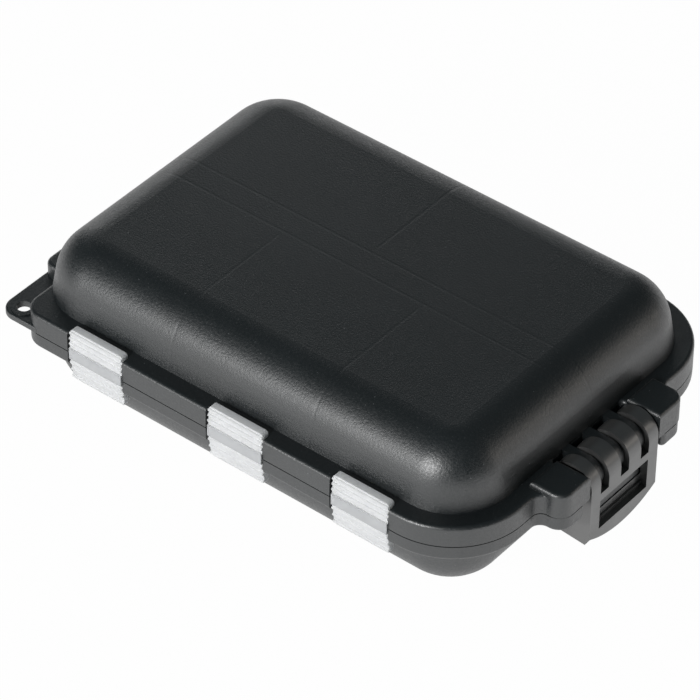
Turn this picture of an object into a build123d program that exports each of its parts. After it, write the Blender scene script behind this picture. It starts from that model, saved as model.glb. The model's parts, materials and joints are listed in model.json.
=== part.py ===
from build123d import *
import math
import os

# Pocket tackle box: two moulded half shells joined by three plastic strip
# hinges along one long side and held shut by a swinging latch on one end.
# Each half holds five compartments, and each compartment has a clear flap.
# Sizes are in millimetres. X runs along the box towards the latch, Y runs
# away from the strip hinges, and Z is up. The origin is under the middle of
# the box, on the plane that it stands on.

# Body
body_left = -59.5
body_right = 54.0
half_width = 40.3
parting_z = 17.2
lid_height = 17.2
parting_gap = 0.2
base_rim_height = 3.3
lid_rim_height = 4.6
rim_edge_r = 0.8

# Domed part of each shell
rim_ledge = 3.8
dome_taper = 10.0
dome_round_margin = 3.0
shell_wall = 1.6
shell_floor = 1.8

# Corner notch with the lanyard tab
notch_x = -53.6
notch_y = -27.5
notch_corner_r = 4.5
notch_inner_r = 2.5
tab_thickness = 1.2
tab_corner_r = 3.5
tab_edge_r = 0.4
tab_overlap = 4.0
lanyard_hole_r = 1.5
lanyard_hole_x = -55.7
lanyard_hole_y = -37.0
lanyard_boss_r = 2.6
lanyard_boss_height = 0.15

# Compartments
divider_wall = 1.1
channel_half_gap = 2.2
divider_drop = 1.7

# Flaps over the compartments
flap_thickness = 1.0
flap_drop = 0.5
flap_side_gap = 0.4
flap_corner_relief = 3.0
flap_lip_width = 9.0
flap_lip_reach = 1.4
flap_knuckle_r = 0.8
flap_pin_r = 0.55
flap_pin_clearance = 0.07
flap_axis_y = 33.2
flap_post_half_width = 1.3
flap_post_half_depth = 1.3
flap_post_top_drop = 0.3
flap_post_gap = 0.3
flap_pin_end_gap = 0.2
flap_rib_cover = 0.3
end_post_inset = 9.0

# Ears at the latch
ear_x = 59.4
ear_outer_y = 19.0
ear_corner_r = 3.2
lid_ear_corner_r = 2.8
ear_root_r = 2.0
ear_to_corner = 5.0
ear_inner_r = 1.0
ear_rise = 1.0
ear_foot_x = 51.6
lid_ear_gap = 0.4
base_ear_gap = 1.75
latch_bay_x = 50.3

# Latch and its axle
latch_front_x = 59.5
latch_half_width = 10.35
latch_wall = 1.6
axle_r = 1.5
axle_clearance = 0.06
axle_height = 1.25
finger_r = 4.5
finger_recess_gap = 0.3
finger_mouth = 2.6
finger_mouth_angle = 45.0
slot_width = 2.5
slot_pitch = 6.19
slot_bottom = 0.9
knuckle_r = 3.4
knuckle_side_gap = 0.25
knuckle_root = 1.0
axle_root = 0.8
window_half_width = 7.42
window_top = 2.7
window_bottom = 9.61
window_back_bottom = 8.7
window_step = 1.2
latch_corner_drop = 10.4
latch_bottom_drop = 13.0
cheek_back_x = 53.0
cheek_bottom_drop = 12.1
cheek_back_rise = 0.5
cheek_front_chamfer = 0.9

# Catch on the base and hook lip on the latch
catch_half_width = 7.2
catch_face_gap = 0.2
catch_top = 5.4
catch_r = 8.65
hook_gap = 0.15
hook_bottom = 9.0
hook_back_x = 55.2
catch_block_top = 3.6
catch_block_bottom = 9.2
catch_block_x = 53.6
catch_neck_x = 54.6
catch_root_x = 49.0

# Strip hinges
strip_1_x = -34.6
strip_2_x = -0.3
strip_3_x = 29.3
strip_width = 13.0
strip_thickness = 2.2
strip_side_gap = 0.15
strip_left_gap = 0.6
strip_back_gap = 0.1
strip_proud = 0.3
strip_rise = 5.6
strip_drop = 6.8
strip_web_height = 1.3
strip_lid_slant = 0.3
strip_base_slant = 0.75
strip_rib_r = 0.35
strip_ribs = 3
strip_corner_r = 0.7
strip_pad_margin = 0.8
strip_pad_drop = 6.2
strip_seam = 0.1
strip_rib_start = 1.0
strip_rib_end = 0.8

# Derived places
base_face_z = parting_z - parting_gap / 2
lid_face_z = parting_z + parting_gap / 2
foot_left = body_left + rim_ledge
foot_right = body_right - rim_ledge
foot_half = half_width - rim_ledge
body_corner_r = round(half_width - ear_outer_y - ear_to_corner, 3)
foot_corner_r = body_corner_r - rim_ledge
dome_round_r = foot_corner_r - dome_round_margin
cavity_left = foot_left + shell_wall
cavity_right = foot_right - shell_wall
cavity_half = foot_half - shell_wall
cavity_corner_r = foot_corner_r - shell_wall
middle_x = (cavity_left + cavity_right) / 2
near_walls = (middle_x - (cavity_right - cavity_left) / 6, middle_x + (cavity_right - cavity_left) / 6)
far_walls = (middle_x,)
rows = ((-1, near_walls), (1, far_walls))
flap_axis_z = parting_z - flap_drop - flap_thickness / 2
axle_x = latch_front_x - finger_r
axle_z = parting_z + axle_height
latch_back_x = latch_front_x - latch_wall
lid_ear_y = latch_half_width + lid_ear_gap
base_ear_y = latch_half_width + base_ear_gap
catch_face_x = latch_back_x - catch_face_gap
hook_r = catch_r + hook_gap
slot_places = (-slot_pitch, 0.0, slot_pitch)
hinge_y = -(half_width + strip_proud)
strip_back_y = hinge_y + strip_thickness
strip_centres = (strip_1_x, strip_2_x, strip_3_x)
parting_plane = Plane.XY.offset(parting_z)


def rounded_plan(left, right, half, corner_r, z):
    """Rounded rectangle in plan, between two X values and either side of Y = 0."""
    with BuildSketch(Plane.XY.offset(z)) as plan:
        with Locations(((left + right) / 2, 0)):
            RectangleRounded(right - left, 2 * half, corner_r)
    return plan.sketch


def rim_plan(z, ear_y):
    """Outline of a rim: rounded body, corner notch, and two ears beside the latch."""
    corners = (
        ((notch_x, -half_width), notch_corner_r),
        ((body_right, -half_width), body_corner_r),
        ((body_right, -ear_outer_y), ear_root_r),
        ((ear_x, -ear_outer_y), ear_corner_r),
        ((ear_x, -ear_y), ear_inner_r),
        ((latch_bay_x, -ear_y), ear_inner_r),
        ((latch_bay_x, ear_y), ear_inner_r),
        ((ear_x, ear_y), ear_inner_r),
        ((ear_x, ear_outer_y), ear_corner_r),
        ((body_right, ear_outer_y), ear_root_r),
        ((body_right, half_width), body_corner_r),
        ((body_left, half_width), body_corner_r),
        ((body_left, notch_y), notch_inner_r),
        ((notch_x, notch_y), notch_inner_r),
    )
    points = [point for point, radius in corners]
    radii = [radius for point, radius in corners]
    with BuildSketch(Plane.XY.offset(z)) as plan:
        with BuildLine():
            FilletPolyline(*points, radius=radii, close=True)
        make_face()
    return plan.sketch


def half_shell(ear_y, rim_height, height):
    """Rim and dome of one shell, hanging below the parting plane."""
    rim_depth = rim_height - parting_gap / 2
    foot = (foot_left, foot_right, foot_half, foot_corner_r)
    with BuildPart() as shell:
        extrude(rim_plan(base_face_z, ear_y), amount=-rim_depth)
        fillet(shell.faces().sort_by(Axis.Z)[0].edges(), rim_edge_r)
        extrude(rounded_plan(*foot, base_face_z), amount=-rim_depth)
        add(dome(parting_z - rim_height, height - rim_height))
    return shell.part


def dome(z, height):
    """Domed body below its foot plane, with tapered sides and a round shoulder."""
    with BuildPart() as body:
        foot = rounded_plan(foot_left, foot_right, foot_half, foot_corner_r, z)
        extrude(foot, amount=-height, taper=dome_taper)
        fillet(body.faces().sort_by(Axis.Z)[0].edges(), dome_round_r)
    return body.part


def pockets(depth):
    """The five compartments of a shell, as one solid to be cut from it."""
    rib_y = channel_half_gap + divider_wall / 2
    post_depth = cavity_half - flap_axis_y + flap_post_half_depth
    with BuildPart() as space:
        mouth = rounded_plan(cavity_left, cavity_right, cavity_half, cavity_corner_r, base_face_z)
        extrude(mouth, amount=-(depth - shell_floor - parting_gap / 2), taper=dome_taper)
        fillet(space.faces().sort_by(Axis.Z)[0].edges(), dome_round_r - shell_wall)
        with BuildSketch(Plane.XY.offset(parting_z - depth)):
            with Locations((middle_x, rib_y), (middle_x, -rib_y)):
                Rectangle(cavity_right - cavity_left, divider_wall)
            for side, walls in rows:
                with Locations(*[(x, side * (rib_y + cavity_half) / 2) for x in walls]):
                    Rectangle(divider_wall, cavity_half - rib_y)
        extrude(amount=depth - divider_drop, mode=Mode.SUBTRACT)
        with BuildSketch(Plane.XY.offset(parting_z - depth)):
            for side, walls in rows:
                with Locations(*[(x, side * (cavity_half - post_depth / 2)) for x in post_places(walls)]):
                    Rectangle(2 * flap_post_half_width, post_depth)
        extrude(amount=depth - flap_post_top_drop, mode=Mode.SUBTRACT)
    return space.part


def post_places(walls):
    """X of the flap hinge posts of one row."""
    return [cavity_left + end_post_inset, *walls, cavity_right - end_post_inset]


def flap_pin_holes():
    """Round holes through the flap hinge posts, on the flap axes."""
    with BuildPart() as holes:
        for side, walls in rows:
            for x in post_places(walls):
                with BuildSketch(Plane.YZ.offset(x)):
                    with Locations((side * flap_axis_y, flap_axis_z)):
                        Circle(flap_pin_r + flap_pin_clearance)
                extrude(amount=flap_post_half_width, both=True)
    return holes.part


def strip_notches(height):
    """Notches that the strip hinges sit in, to be cut from a rim below the parting plane."""
    shift = (strip_side_gap - strip_left_gap) / 2
    depth = strip_back_y + strip_back_gap + half_width
    with BuildPart() as notches:
        with BuildSketch(parting_plane):
            with Locations(*[(x + shift, depth / 2 - half_width) for x in strip_centres]):
                Rectangle(strip_width + strip_left_gap + strip_side_gap, depth)
        extrude(amount=-height)
    return notches.part


def latch_axis_bar(radius, half_length):
    """Round bar on the latch axis."""
    with BuildPart() as bar:
        with BuildSketch(Plane.XZ):
            with Locations((axle_x, axle_z)):
                Circle(radius)
        extrude(amount=half_length, both=True)
    return bar.part


def ear_caps():
    """Raised tops of the two lid ears, hanging below the parting plane."""
    with BuildPart() as caps:
        with BuildSketch(Plane.XY.offset(base_face_z)) as plan:
            for side in (-1, 1):
                with Locations(((ear_foot_x + ear_x) / 2, side * (lid_ear_y + ear_outer_y) / 2)):
                    Rectangle(ear_x - ear_foot_x, ear_outer_y - lid_ear_y)
            outer = plan.vertices().group_by(Axis.X)[-1].sort_by(Axis.Y)
            fillet([outer[0], outer[-1]], lid_ear_corner_r)
        extrude(amount=-(lid_rim_height + ear_rise - parting_gap / 2))
        fillet(caps.faces().group_by(Axis.Z)[0].edges(), rim_edge_r)
    return caps.part


def lanyard_tab():
    """Thin corner tab in the notch, with its hole in a low round boss."""
    with BuildPart() as tab:
        with BuildSketch(Plane.XY.offset(lid_face_z)):
            with BuildLine():
                FilletPolyline(
                    (body_left, -half_width),
                    (notch_x + tab_overlap, -half_width),
                    (notch_x + tab_overlap, notch_y + tab_overlap),
                    (body_left, notch_y + tab_overlap),
                    radius=(tab_corner_r, 0, 0, 0),
                    close=True,
                )
            make_face()
        extrude(amount=tab_thickness)
        fillet(tab.faces().sort_by(Axis.Z)[-1].edges(), tab_edge_r)
        with BuildSketch(Plane.XY.offset(lid_face_z)):
            with Locations((lanyard_hole_x, lanyard_hole_y)):
                Circle(lanyard_boss_r)
        extrude(amount=tab_thickness + lanyard_boss_height)
        with BuildSketch(Plane.XY.offset(lid_face_z)):
            with Locations((lanyard_hole_x, lanyard_hole_y)):
                Circle(lanyard_hole_r)
        extrude(amount=tab_thickness + lanyard_boss_height, mode=Mode.SUBTRACT)
    return tab.part


def catch_block():
    """Block under the base rim, with the rib that the hook lip goes under."""
    edge_angle = math.degrees(math.acos((catch_face_x - axle_x) / catch_r))
    edge_z = axle_z - catch_r * math.sin(math.radians(edge_angle))
    with BuildPart() as block:
        with BuildSketch(Plane.XZ):
            with BuildLine():
                Polyline(
                    (axle_x, axle_z - catch_r),
                    (catch_root_x, parting_z - catch_block_bottom),
                    (catch_root_x, parting_z - catch_block_top),
                    (catch_block_x, parting_z - catch_block_top),
                    (catch_neck_x, parting_z - catch_top),
                    (catch_face_x, parting_z - catch_top),
                    (catch_face_x, edge_z),
                )
                CenterArc((axle_x, axle_z), catch_r, -90, 90 - edge_angle)
            make_face()
        extrude(amount=catch_half_width, both=True)
    return block.part


def strip_pads():
    """Pads on the base that carry the lower leaves of the strip hinges."""
    face_y = strip_back_y + strip_back_gap
    with BuildPart() as pads:
        with BuildSketch(Plane.XY.offset(parting_z - strip_pad_drop)):
            with Locations(*[(x, (face_y - cavity_half) / 2) for x in strip_centres]):
                Rectangle(strip_width - 2 * strip_pad_margin, -face_y - cavity_half)
        extrude(amount=strip_pad_drop - base_rim_height + rim_edge_r)
    return pads.part


def strip_leaf(x, way, height, slant):
    """Ribbed leaf of a strip hinge, above (way 1) or below (way -1) the parting plane."""
    face_y = hinge_y + strip_rib_r
    slope = slant / (height - strip_web_height)
    reach = height - strip_web_height - strip_rib_start - strip_rib_end
    rib_rises = [strip_rib_start + reach * i / (strip_ribs - 1) for i in range(strip_ribs)]
    with BuildPart() as leaf:
        with BuildSketch(Plane.YZ.offset(x - strip_width / 2)):
            with BuildLine():
                Polyline(
                    (strip_back_y, parting_z + way * strip_seam),
                    (hinge_y, parting_z + way * strip_seam),
                    (hinge_y, parting_z + way * strip_web_height),
                    (face_y, parting_z + way * strip_web_height),
                    (face_y + slant, parting_z + way * height),
                    (strip_back_y, parting_z + way * height),
                    close=True,
                )
            make_face()
            for rise in rib_rises:
                with Locations((face_y + slope * rise, parting_z + way * (strip_web_height + rise))):
                    Circle(strip_rib_r)
        extrude(amount=strip_width)
        ends = leaf.edges().filter_by(Axis.Y).group_by(Axis.Z)
        fillet(ends[-1] if way > 0 else ends[0], strip_corner_r)
    return leaf.part


def finger_spans():
    """Lowest and highest Y of each of the four latch fingers."""
    edges = [-latch_half_width]
    for y in slot_places:
        edges += [y - slot_width / 2, y + slot_width / 2]
    edges.append(latch_half_width)
    return list(zip(edges[::2], edges[1::2]))


def flap(low_x, high_x, side, low_post, high_post):
    """Clear flap over one base compartment, hinged at the outer wall on two end pins."""
    edge_y = channel_half_gap + flap_rib_cover
    knuckle_low = low_post + flap_post_half_width + flap_post_gap
    knuckle_high = high_post - flap_post_half_width - flap_post_gap
    with BuildPart() as leaf:
        with BuildSketch(Plane.XY.offset(flap_axis_z)):
            with Locations(((low_x + high_x) / 2, side * (edge_y + flap_axis_y) / 2)):
                Rectangle(high_x - low_x - 2 * flap_side_gap, flap_axis_y - edge_y)
            with Locations((middle_x, 0)):
                RectangleRounded(
                    cavity_right - cavity_left - 2 * flap_side_gap,
                    2 * (cavity_half - flap_side_gap),
                    cavity_corner_r + flap_corner_relief,
                    mode=Mode.INTERSECT,
                )
            with Locations(((low_x + high_x) / 2, side * (edge_y - flap_lip_reach / 2))):
                Rectangle(flap_lip_width, flap_lip_reach)
            with Locations((low_post, side * flap_axis_y), (high_post, side * flap_axis_y)):
                Rectangle(
                    2 * (flap_post_half_width + flap_post_gap),
                    2 * (flap_post_half_depth + flap_post_gap),
                    mode=Mode.SUBTRACT,
                )
        extrude(amount=flap_thickness / 2, both=True)
        with BuildSketch(Plane.YZ.offset(knuckle_low)):
            with Locations((side * flap_axis_y, flap_axis_z)):
                Circle(flap_knuckle_r)
        extrude(amount=knuckle_high - knuckle_low)
        with BuildSketch(Plane.YZ.offset(low_post + flap_pin_end_gap)):
            with Locations((side * flap_axis_y, flap_axis_z)):
                Circle(flap_pin_r)
        extrude(amount=high_post - low_post - 2 * flap_pin_end_gap)
    return leaf.part


# Base shell
with BuildPart() as base_shell:
    add(half_shell(base_ear_y, base_rim_height, parting_z))
    add(catch_block())
    add(strip_pads())
    add(strip_notches(parting_z), mode=Mode.SUBTRACT)
    add(pockets(parting_z), mode=Mode.SUBTRACT)
    add(flap_pin_holes(), mode=Mode.SUBTRACT)
base_shell.part.label = "base_shell"

# Lid shell, made hanging and then turned up, with the latch axle in its bay
with BuildPart() as lid_shell:
    add(half_shell(lid_ear_y, lid_rim_height, lid_height))
    add(ear_caps())
    add(strip_notches(lid_rim_height), mode=Mode.SUBTRACT)
    mirror(about=parting_plane, mode=Mode.REPLACE)
    add(lanyard_tab())
    add(pockets(lid_height).mirror(parting_plane), mode=Mode.SUBTRACT)
    add(flap_pin_holes().mirror(parting_plane), mode=Mode.SUBTRACT)
    add(latch_axis_bar(finger_r + finger_recess_gap, lid_ear_y), mode=Mode.SUBTRACT)
    for y in slot_places:
        with BuildSketch(Plane.XZ.offset(-y)):
            with Locations((axle_x, axle_z)):
                Circle(knuckle_r)
            web_low_x = foot_right - knuckle_root
            web_high_z = axle_z + knuckle_r
            with Locations(((web_low_x + axle_x) / 2, (lid_face_z + web_high_z) / 2)):
                Rectangle(axle_x - web_low_x, web_high_z - lid_face_z)
        extrude(amount=slot_width / 2 - knuckle_side_gap, both=True)
    add(latch_axis_bar(axle_r, lid_ear_y + axle_root))
lid_shell.part.label = "lid_shell"

# Latch: slotted and windowed front plate, two cheeks, four fingers and the hook lip
with BuildPart() as latch:
    with BuildSketch(Plane.YZ.offset(latch_back_x)):
        with BuildLine():
            Polyline(
                (-latch_half_width, parting_z - latch_corner_drop),
                (-latch_half_width, axle_z),
                (latch_half_width, axle_z),
                (latch_half_width, parting_z - latch_corner_drop),
            )
            ThreePointArc(
                (latch_half_width, parting_z - latch_corner_drop),
                (0, parting_z - latch_bottom_drop),
                (-latch_half_width, parting_z - latch_corner_drop),
            )
        make_face()
        slot_height = axle_height + slot_bottom
        with Locations(*[(y, axle_z - slot_height / 2) for y in slot_places]):
            Rectangle(slot_width, slot_height, mode=Mode.SUBTRACT)
        with Locations((0, parting_z - (window_top + window_back_bottom) / 2)):
            Rectangle(2 * window_half_width, window_back_bottom - window_top, mode=Mode.SUBTRACT)
    extrude(amount=latch_wall)
    with BuildSketch(Plane.YZ.offset(latch_front_x)):
        with Locations((0, parting_z - (window_top + window_bottom) / 2)):
            Rectangle(2 * window_half_width, window_bottom - window_top)
    extrude(amount=-window_step, mode=Mode.SUBTRACT)
    for side in (-1, 1):
        with BuildSketch(Plane.XZ.offset(-side * (latch_half_width - latch_wall / 2))):
            with BuildLine():
                Polyline(
                    (latch_front_x, axle_z),
                    (cheek_back_x, axle_z),
                    (cheek_back_x, parting_z - cheek_bottom_drop + cheek_back_rise),
                    (latch_front_x - cheek_front_chamfer, parting_z - cheek_bottom_drop),
                    (latch_front_x, parting_z - latch_corner_drop),
                    close=True,
                )
            make_face()
        extrude(amount=latch_wall / 2, both=True)
    for low_y, high_y in finger_spans():
        with BuildSketch(Plane.XZ.offset(-(low_y + high_y) / 2)):
            with Locations((axle_x, axle_z)):
                Circle(finger_r)
        extrude(amount=(high_y - low_y) / 2, both=True)
    hook_back_angle = math.degrees(math.acos((hook_back_x - axle_x) / hook_r))
    hook_front_angle = math.degrees(math.acos((latch_back_x - axle_x) / hook_r))
    with BuildSketch(Plane.XZ):
        with BuildLine():
            lip_top = CenterArc(
                (axle_x, axle_z), hook_r, -hook_back_angle, hook_back_angle - hook_front_angle
            )
            Polyline(
                lip_top @ 1,
                (latch_back_x, parting_z - hook_bottom),
                (hook_back_x, parting_z - hook_bottom),
                lip_top @ 0,
            )
        make_face()
    extrude(amount=latch_half_width - latch_wall / 2, both=True)
    add(latch_axis_bar(axle_r + axle_clearance, latch_half_width), mode=Mode.SUBTRACT)
    mouth_x = axle_x - finger_r * math.cos(math.radians(finger_mouth_angle))
    mouth_z = axle_z - finger_r * math.sin(math.radians(finger_mouth_angle))
    with BuildSketch(Plane.XZ):
        with Locations((mouth_x, mouth_z)):
            Rectangle(2 * finger_r, finger_mouth, rotation=finger_mouth_angle)
    extrude(amount=latch_half_width, both=True, mode=Mode.SUBTRACT)
latch.part.label = "latch"

parts = [base_shell.part, lid_shell.part, latch.part]

# Strip hinges, each one a leaf on the lid and a leaf on the base
for i, x in enumerate(strip_centres, 1):
    lid_leaf = strip_leaf(x, 1, strip_rise, strip_lid_slant)
    lid_leaf.label = f"strip_{i}_lid_leaf"
    base_leaf = strip_leaf(x, -1, strip_drop, strip_base_slant)
    base_leaf.label = f"strip_{i}_base_leaf"
    parts += [lid_leaf, base_leaf]

# Clear flaps, the same five in the base and, turned over, in the lid
for side, walls in rows:
    edges = [cavity_left, *walls, cavity_right]
    posts = post_places(walls)
    for i in range(len(walls) + 1):
        row = "near" if side < 0 else "far"
        base_flap = flap(edges[i], edges[i + 1], side, posts[i], posts[i + 1])
        base_flap.label = f"base_{row}_flap_{i + 1}"
        lid_flap = base_flap.mirror(parting_plane)
        lid_flap.label = f"lid_{row}_flap_{i + 1}"
        parts += [base_flap, lid_flap]

os.makedirs("parts", exist_ok=True)
for piece in parts:
    export_step(piece, f"parts/{piece.label}.step")
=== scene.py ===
import bpy
import json
import math
from mathutils import Matrix, Vector


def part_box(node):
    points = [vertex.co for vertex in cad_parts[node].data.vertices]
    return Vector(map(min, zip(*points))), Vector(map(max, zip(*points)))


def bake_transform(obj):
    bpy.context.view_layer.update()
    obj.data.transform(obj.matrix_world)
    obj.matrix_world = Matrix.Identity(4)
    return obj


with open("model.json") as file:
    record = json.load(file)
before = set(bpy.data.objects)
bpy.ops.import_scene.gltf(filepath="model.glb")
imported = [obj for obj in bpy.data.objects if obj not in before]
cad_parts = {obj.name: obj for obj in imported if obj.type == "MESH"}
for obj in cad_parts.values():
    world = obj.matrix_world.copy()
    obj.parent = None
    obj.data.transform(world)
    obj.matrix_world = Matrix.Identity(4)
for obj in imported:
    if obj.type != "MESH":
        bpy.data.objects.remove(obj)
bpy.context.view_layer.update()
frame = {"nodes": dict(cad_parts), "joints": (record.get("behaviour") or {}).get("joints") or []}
MM = 0.001

# Places read from the frame
NODES = frame["nodes"]
JOINTS = {j["name"]: j for j in frame["joints"]}
HINGE_Y, PARTING_Z = JOINTS["lid_hinge"]["pos_m"][1:]

# Camera of the photograph: what it looks at, from where, and how long its lens is
CAMERA_TARGET = Vector((-2.975 * MM, -8.873 * MM, PARTING_Z))
CAMERA_AZIMUTH = math.radians(38.846)
CAMERA_ELEVATION = math.radians(40.727)
CAMERA_ROLL = math.radians(0.445)
CAMERA_DISTANCE = 831.2 * MM
CAMERA_LENS = 225.7
CAMERA_SENSOR = 36.0
FRAME_PIXELS = 700
PRINCIPAL_X = 331.0
PRINCIPAL_Y = 352.5

# Studio: white where the camera sees it, but dim for what the object reflects
WORLD_TINT = (0.8, 0.95, 1.0, 1)
WORLD_STRENGTH = 0.08
WHITE = (1, 1, 1, 1)
BLACK = (0, 0, 0, 1)
FULL_SPECULAR = 1.0
FLOOR_HALF = 3.0
FLOOR_COLOUR = (0.9, 0.9, 0.9, 1)
FLOOR_ROUGHNESS = 0.9
FLOOR_WHITE_SHARE = 0.985

# Strip hinge webs
STRIP_COUNT = sum(name.endswith("_lid_leaf") for name in NODES)
WEB_REACH = 1.25 * MM
WEB_PROUD = 0.02 * MM
WEB_THICKNESS = 0.4 * MM
WEB_ROWS = 24

# Shading of the CAD nodes: creases in degrees
SMOOTH_CREASE = 34.0
STRIP_CREASE = 50.0
LATCH_EDGE_RADIUS = 0.22 * MM
LATCH_EDGE_SEGMENTS = 2

# Span of a noise texture's values that the finishes use; scales are per metre
NOISE_LOW = 0.3
NOISE_HIGH = 0.7

# Finish of the black shells
SHELL_COLOUR = (0.0035, 0.0065, 0.0078, 1)
SHELL_COLOUR_HIGH = (0.0065, 0.0105, 0.0122, 1)
SHELL_COLOUR_SPAN = (0.35, 0.7)
SHELL_PATCH_SCALE = 45.0
SHELL_ROUGHNESS = (0.34, 0.5)
SHELL_IOR = 1.62
# Painted glints: bright speckles added to the shell colour where the grain noise peaks, standing
# in for glints off the grain
PAINTED_GLINT_COLOUR = (0.3, 0.31, 0.32, 1)
PAINTED_GLINT_SPAN = (0.7, 0.76)
GRAIN_SCALE = 2300.0
GRAIN_BUMP = 0.5
GRAIN_DEPTH = 0.12 * MM
WAVE_SCALE = 90.0
WAVE_BUMP = 0.12
WAVE_DEPTH = 0.25 * MM
MARK_HALF_GAP = 2.85 * MM
MARK_HALF_WIDTH = 0.5 * MM
MARK_BUMP = 0.35
MARK_DEPTH = 0.06 * MM

# Finish of the latch
LATCH_COLOUR = (0.05, 0.05, 0.05, 1)
LATCH_COLOUR_HIGH = (0.075, 0.075, 0.073, 1)
LATCH_COLOUR_SPAN = (0.3, 0.75)
LATCH_PATCH_SCALE = 160.0
LATCH_ROUGHNESS = (0.3, 0.44)
LATCH_IOR = 1.75
LATCH_GRAIN_SCALE = 1500.0
LATCH_GRAIN_BUMP = 0.15
LATCH_GRAIN_DEPTH = 0.05 * MM

# Finish of the strips and their thinner, darker webs
STRIP_COLOUR = (0.93, 0.935, 0.94, 1)
STRIP_COLOUR_DULL = (0.87, 0.875, 0.88, 1)
WEB_COLOUR = (0.72, 0.73, 0.74, 1)
WEB_COLOUR_DULL = (0.66, 0.67, 0.68, 1)
STRIP_PATCH_SCALE = 220.0
STRIP_ROUGHNESS = (0.34, 0.5)
STRIP_SCATTER_SHARE = 0.4
STRIP_SCATTER_REACH = 2.5 * MM
STRIP_SCATTER_TINT = (1.0, 1.0, 0.95)
STRIP_GRAIN_SCALE = 900.0
STRIP_GRAIN_BUMP = 0.08
STRIP_GRAIN_DEPTH = 0.05 * MM

# Finish of the clear flaps
FLAP_TINT = (0.93, 0.95, 0.96, 1)
FLAP_TINT_HAZE = (0.86, 0.89, 0.9, 1)
FLAP_HAZE_SCALE = 120.0
FLAP_ROUGHNESS = (0.04, 0.14)
FLAP_TRANSMISSION = 0.92
FLAP_IOR = 1.49

# Lamps: name, direction from the object, distance, width and height, watts, colour
NEUTRAL = (1.0, 1.0, 1.0)
WARM = (1.0, 0.93, 0.86)
LAMPS = (
    ("low_front_left", (-0.3, -0.93, 0.27), 0.8, (0.5, 0.25), 1.35, NEUTRAL),
    ("front", (-0.02, -0.92, 0.43), 1.0, (0.12, 0.13), 4.6, NEUTRAL),
    ("rear_right", (0.74, 0.63, 0.25), 0.8, (0.5, 0.16), 0.42, WARM),
    ("rear_left", (-0.72, 0.66, 0.24), 0.9, (0.6, 0.2), 0.7, NEUTRAL),
)


def new_material(name):
    """Node material with its Principled shader."""
    material = bpy.data.materials.new(name)
    material.use_nodes = True
    tree = material.node_tree
    return material, tree, tree.nodes["Principled BSDF"]


def add_node(tree, kind, **properties):
    """A shader node with its properties set by name."""
    node = tree.nodes.new(kind)
    for key, value in properties.items():
        setattr(node, key, value)
    return node


def noise(tree, scale, detail=2.0, roughness=0.5):
    """Noise over the object's own coordinates."""
    place = add_node(tree, "ShaderNodeTexCoord")
    texture = add_node(tree, "ShaderNodeTexNoise")
    texture.inputs["Scale"].default_value = scale
    texture.inputs["Detail"].default_value = detail
    texture.inputs["Roughness"].default_value = roughness
    tree.links.new(place.outputs["Object"], texture.inputs["Vector"])
    return texture.outputs["Fac"]


def ramp(tree, source, span, colours):
    """Colour ramp between two colours, over a span of the source's values."""
    node = add_node(tree, "ShaderNodeValToRGB")
    for element, position, colour in zip(node.color_ramp.elements, span, colours):
        element.position = position
        element.color = colour
    tree.links.new(source, node.inputs["Fac"])
    return node.outputs["Color"]


def map_range(tree, source, low, high, out_low, out_high, smooth=False):
    """Value moved from one range to another."""
    node = add_node(tree, "ShaderNodeMapRange")
    node.interpolation_type = "SMOOTHSTEP" if smooth else "LINEAR"
    node.inputs["From Min"].default_value = low
    node.inputs["From Max"].default_value = high
    node.inputs["To Min"].default_value = out_low
    node.inputs["To Max"].default_value = out_high
    tree.links.new(source, node.inputs["Value"])
    return node.outputs["Result"]


def maths(tree, operation, first, second=None):
    """One math node; the second value may be a number or a socket."""
    node = add_node(tree, "ShaderNodeMath", operation=operation)
    tree.links.new(first, node.inputs[0])
    if isinstance(second, (int, float)):
        node.inputs[1].default_value = second
    elif second is not None:
        tree.links.new(second, node.inputs[1])
    return node.outputs["Value"]


def bump(tree, shader, height, strength, distance, normal=None):
    """Bump into the shader's normal, on top of an earlier one where given."""
    node = add_node(tree, "ShaderNodeBump")
    node.inputs["Strength"].default_value = strength
    node.inputs["Distance"].default_value = distance
    tree.links.new(height, node.inputs["Height"])
    if normal is not None:
        tree.links.new(normal, node.inputs["Normal"])
    tree.links.new(node.outputs["Normal"], shader.inputs["Normal"])
    return node.outputs["Normal"]


def vary_roughness(tree, shader, source, span):
    """Roughness that follows a noise, between the two ends of its span."""
    roughness = map_range(tree, source, NOISE_LOW, NOISE_HIGH, *span)
    tree.links.new(roughness, shader.inputs["Roughness"])


def sink_marks(tree):
    """Lines on the outside where the dividers meet the skin: 1 on a line, 0 elsewhere."""
    place = add_node(tree, "ShaderNodeTexCoord")
    split = add_node(tree, "ShaderNodeSeparateXYZ")
    tree.links.new(place.outputs["Object"], split.inputs["Vector"])
    x, y = split.outputs["X"], split.outputs["Y"]
    low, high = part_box("base_near_flap_2")[0].x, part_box("base_near_flap_2")[1].x
    middle = (low + high) / 2

    def line(coordinate, where):
        distance = maths(tree, "ABSOLUTE", maths(tree, "SUBTRACT", coordinate, where))
        return map_range(tree, distance, 0.0, MARK_HALF_WIDTH, 1.0, 0.0, smooth=True)

    centre_ribs = line(maths(tree, "ABSOLUTE", y), MARK_HALF_GAP)
    far_side = map_range(tree, y, MARK_HALF_GAP, 2 * MARK_HALF_GAP, 0.0, 1.0)
    near_side = map_range(tree, y, -MARK_HALF_GAP, -2 * MARK_HALF_GAP, 0.0, 1.0)
    far_wall = maths(tree, "MULTIPLY", line(x, middle), far_side)
    near_walls = maths(tree, "ADD", line(x, low), line(x, high))
    near_walls = maths(tree, "MULTIPLY", near_walls, near_side)
    return maths(tree, "ADD", centre_ribs, maths(tree, "ADD", far_wall, near_walls))


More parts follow.
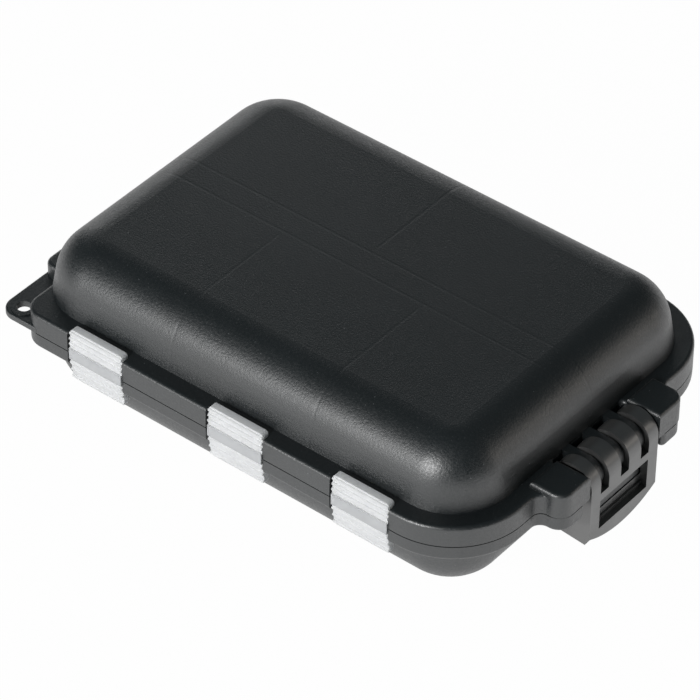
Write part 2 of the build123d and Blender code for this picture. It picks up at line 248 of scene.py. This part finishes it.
def shell_material():
    """Black polypropylene: painted glint speckles over the grain, soft uneven sheen, faint sink
    marks.
    """
    material, tree, shader = new_material("shell_black")
    grain = noise(tree, GRAIN_SCALE, detail=3.0, roughness=0.65)
    patches = noise(tree, SHELL_PATCH_SCALE, detail=3.0)
    colour = ramp(tree, patches, SHELL_COLOUR_SPAN, (SHELL_COLOUR, SHELL_COLOUR_HIGH))
    # the bright speckles added to the colour are painted glints of the grain
    painted_glints = ramp(tree, grain, PAINTED_GLINT_SPAN, (BLACK, PAINTED_GLINT_COLOUR))
    mix = add_node(tree, "ShaderNodeMix", data_type="RGBA", blend_type="ADD")
    mix.inputs["Factor"].default_value = 1.0
    tree.links.new(colour, mix.inputs["A"])
    tree.links.new(painted_glints, mix.inputs["B"])
    tree.links.new(mix.outputs["Result"], shader.inputs["Base Color"])
    vary_roughness(tree, shader, grain, SHELL_ROUGHNESS)
    shader.inputs["Specular IOR Level"].default_value = FULL_SPECULAR
    shader.inputs["IOR"].default_value = SHELL_IOR
    normal = bump(tree, shader, grain, GRAIN_BUMP, GRAIN_DEPTH)
    waves = noise(tree, WAVE_SCALE)
    normal = bump(tree, shader, waves, WAVE_BUMP, WAVE_DEPTH, normal)
    bump(tree, shader, sink_marks(tree), MARK_BUMP, -MARK_DEPTH, normal)
    return material


def latch_material():
    """Smoother satin black plastic, with light scuffs."""
    material, tree, shader = new_material("latch_black")
    patches = noise(tree, LATCH_PATCH_SCALE, detail=4.0, roughness=0.6)
    colour = ramp(tree, patches, LATCH_COLOUR_SPAN, (LATCH_COLOUR, LATCH_COLOUR_HIGH))
    tree.links.new(colour, shader.inputs["Base Color"])
    vary_roughness(tree, shader, patches, LATCH_ROUGHNESS)
    shader.inputs["Specular IOR Level"].default_value = FULL_SPECULAR
    shader.inputs["IOR"].default_value = LATCH_IOR
    grain = noise(tree, LATCH_GRAIN_SCALE)
    bump(tree, shader, grain, LATCH_GRAIN_BUMP, LATCH_GRAIN_DEPTH)
    return material


def strip_material(name, colour, dull):
    """Natural white polypropylene: slightly translucent, with faint uneven patches."""
    material, tree, shader = new_material(name)
    patches = noise(tree, STRIP_PATCH_SCALE, detail=3.0)
    tint = ramp(tree, patches, (NOISE_LOW, NOISE_HIGH), (dull, colour))
    tree.links.new(tint, shader.inputs["Base Color"])
    vary_roughness(tree, shader, patches, STRIP_ROUGHNESS)
    shader.inputs["Subsurface Weight"].default_value = STRIP_SCATTER_SHARE
    shader.inputs["Subsurface Scale"].default_value = STRIP_SCATTER_REACH
    shader.inputs["Subsurface Radius"].default_value = STRIP_SCATTER_TINT
    grain = noise(tree, STRIP_GRAIN_SCALE)
    bump(tree, shader, grain, STRIP_GRAIN_BUMP, STRIP_GRAIN_DEPTH)
    return material


def flap_material():
    """Clear glossy plastic with a little haze."""
    material, tree, shader = new_material("flap_clear")
    haze = noise(tree, FLAP_HAZE_SCALE, detail=3.0)
    tint = ramp(tree, haze, (NOISE_LOW, NOISE_HIGH), (FLAP_TINT_HAZE, FLAP_TINT))
    tree.links.new(tint, shader.inputs["Base Color"])
    vary_roughness(tree, shader, haze, FLAP_ROUGHNESS)
    shader.inputs["Transmission Weight"].default_value = FLAP_TRANSMISSION
    shader.inputs["IOR"].default_value = FLAP_IOR
    return material


def dress_node(node, material, crease=SMOOTH_CREASE, bevel=0.0):
    """Gives a CAD node its material, smooth faces with sharp creases, and an edge radius."""
    obj = NODES[node]
    obj.data.materials.clear()
    obj.data.materials.append(material)
    for polygon in obj.data.polygons:
        polygon.material_index = 0
        polygon.use_smooth = True
    obj.data.set_sharp_from_angle(angle=math.radians(crease))
    if bevel:
        edge = obj.modifiers.new("edge_radius", "BEVEL")
        edge.width = bevel
        edge.segments = LATCH_EDGE_SEGMENTS
        edge.limit_method = "ANGLE"
        edge.angle_limit = math.radians(crease)
        edge.harden_normals = True


def strip_web(index, material):
    """Thin bending web of a strip hinge, between its lid leaf and its base leaf."""
    low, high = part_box(f"strip_{index}_lid_leaf")
    left, right = low.x, high.x
    outer_y = HINGE_Y - WEB_PROUD
    inner_y = HINGE_Y - WEB_PROUD + WEB_THICKNESS
    verts = []
    faces = []
    for i in range(WEB_ROWS + 1):
        z = PARTING_Z - WEB_REACH + 2 * WEB_REACH * i / WEB_ROWS
        verts += [(left, outer_y, z), (right, outer_y, z)]
        verts += [(right, inner_y, z), (left, inner_y, z)]
    for i in range(WEB_ROWS):
        a, b = 4 * i, 4 * (i + 1)
        for j in range(4):
            k = (j + 1) % 4
            faces.append((a + j, a + k, b + k, b + j))
    faces.append((3, 2, 1, 0))
    top = 4 * WEB_ROWS
    faces.append((top, top + 1, top + 2, top + 3))
    mesh = bpy.data.meshes.new(f"strip_{index}_web")
    mesh.from_pydata(verts, [], faces)
    web = bpy.data.objects.new(f"strip_{index}_web", mesh)
    bpy.context.scene.collection.objects.link(web)
    mesh.materials.append(material)
    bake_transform(web)


def photo_camera():
    """Camera at the photograph's place."""
    back = Vector((
        math.sin(CAMERA_AZIMUTH) * math.cos(CAMERA_ELEVATION),
        -math.cos(CAMERA_AZIMUTH) * math.cos(CAMERA_ELEVATION),
        math.sin(CAMERA_ELEVATION),
    ))
    right = (-back).cross(Vector((0, 0, 1))).normalized()
    up = right.cross(-back)
    turned_right = math.cos(CAMERA_ROLL) * right + math.sin(CAMERA_ROLL) * up
    turned_up = -math.sin(CAMERA_ROLL) * right + math.cos(CAMERA_ROLL) * up
    data = bpy.data.cameras.new("photo_camera")
    data.lens = CAMERA_LENS
    data.sensor_width = CAMERA_SENSOR
    data.sensor_fit = "HORIZONTAL"
    data.shift_x = (FRAME_PIXELS / 2 - PRINCIPAL_X) / FRAME_PIXELS
    data.shift_y = (PRINCIPAL_Y - FRAME_PIXELS / 2) / FRAME_PIXELS
    camera = bpy.data.objects.new("photo_camera", data)
    rotation = Matrix((turned_right, turned_up, back)).transposed().to_4x4()
    camera.matrix_world = Matrix.Translation(CAMERA_TARGET + back * CAMERA_DISTANCE) @ rotation
    bpy.context.scene.collection.objects.link(camera)
    bpy.context.scene.camera = camera


def soft_light(name, direction, distance, size, power, colour):
    """Square area lamp that faces the object from a direction."""
    data = bpy.data.lights.new(name, "AREA")
    data.shape = "RECTANGLE"
    data.size, data.size_y = size
    data.energy = power
    data.color = colour
    lamp = bpy.data.objects.new(name, data)
    aim = Vector((0, 0, PARTING_Z))
    way = Vector(direction).normalized()
    lamp.location = aim + way * distance
    lamp.rotation_euler = way.to_track_quat("Z", "Y").to_euler()
    bpy.context.scene.collection.objects.link(lamp)


def background_rays(tree, with_glossy):
    """1 for camera and transmission rays, and for glossy ones where asked, else 0."""
    path = add_node(tree, "ShaderNodeLightPath")
    camera_ray = path.outputs["Is Camera Ray"]
    seen = maths(tree, "MAXIMUM", camera_ray, path.outputs["Is Transmission Ray"])
    if with_glossy:
        seen = maths(tree, "MAXIMUM", seen, path.outputs["Is Glossy Ray"])
    return seen


def studio():
    """White surroundings, a pale floor that keeps the shadow, and soft lamps."""
    world = bpy.data.worlds.new("studio")
    bpy.context.scene.world = world
    world.use_nodes = True
    tree = world.node_tree
    tree.nodes.clear()
    output = add_node(tree, "ShaderNodeOutputWorld")
    dim = add_node(tree, "ShaderNodeBackground")
    dim.inputs["Color"].default_value = WORLD_TINT
    dim.inputs["Strength"].default_value = WORLD_STRENGTH
    white = add_node(tree, "ShaderNodeBackground")
    white.inputs["Color"].default_value = WHITE
    white.inputs["Strength"].default_value = 1.0
    mix = add_node(tree, "ShaderNodeMixShader")
    tree.links.new(background_rays(tree, False), mix.inputs["Fac"])
    tree.links.new(dim.outputs["Background"], mix.inputs[1])
    tree.links.new(white.outputs["Background"], mix.inputs[2])
    tree.links.new(mix.outputs["Shader"], output.inputs["Surface"])

    signs = ((-1, -1), (1, -1), (1, 1), (-1, 1))
    corners = [(x * FLOOR_HALF, y * FLOOR_HALF, 0) for x, y in signs]
    mesh = bpy.data.meshes.new("floor")
    mesh.from_pydata(corners, [], [(0, 1, 2, 3)])
    floor = bpy.data.objects.new("floor", mesh)
    bpy.context.scene.collection.objects.link(floor)
    material, tree, shader = new_material("floor_white")
    shader.inputs["Base Color"].default_value = FLOOR_COLOUR
    shader.inputs["Roughness"].default_value = FLOOR_ROUGHNESS
    shader.inputs["Specular IOR Level"].default_value = 0.0
    glow = add_node(tree, "ShaderNodeEmission")
    glow.inputs["Color"].default_value = WHITE
    glow.inputs["Strength"].default_value = 1.0
    blend = add_node(tree, "ShaderNodeMixShader")
    share = maths(tree, "MULTIPLY", background_rays(tree, True), FLOOR_WHITE_SHARE)
    tree.links.new(share, blend.inputs["Fac"])
    tree.links.new(shader.outputs["BSDF"], blend.inputs[1])
    tree.links.new(glow.outputs["Emission"], blend.inputs[2])
    tree.links.new(blend.outputs["Shader"], tree.nodes["Material Output"].inputs["Surface"])
    mesh.materials.append(material)

    for lamp in LAMPS:
        soft_light(*lamp)
    bpy.context.scene.view_settings.view_transform = "Standard"


shell_black = shell_material()
latch_black = latch_material()
strip_white = strip_material("strip_white", STRIP_COLOUR, STRIP_COLOUR_DULL)
web_grey = strip_material("strip_web", WEB_COLOUR, WEB_COLOUR_DULL)
flap_clear = flap_material()

for name in NODES:
    if name.endswith("shell"):
        dress_node(name, shell_black)
    elif name == "latch":
        dress_node(name, latch_black, bevel=LATCH_EDGE_RADIUS)
    elif name.startswith("strip"):
        dress_node(name, strip_white, crease=STRIP_CREASE)
    else:
        dress_node(name, flap_clear)
for index in range(1, STRIP_COUNT + 1):
    strip_web(index, web_grey)

studio()
photo_camera()
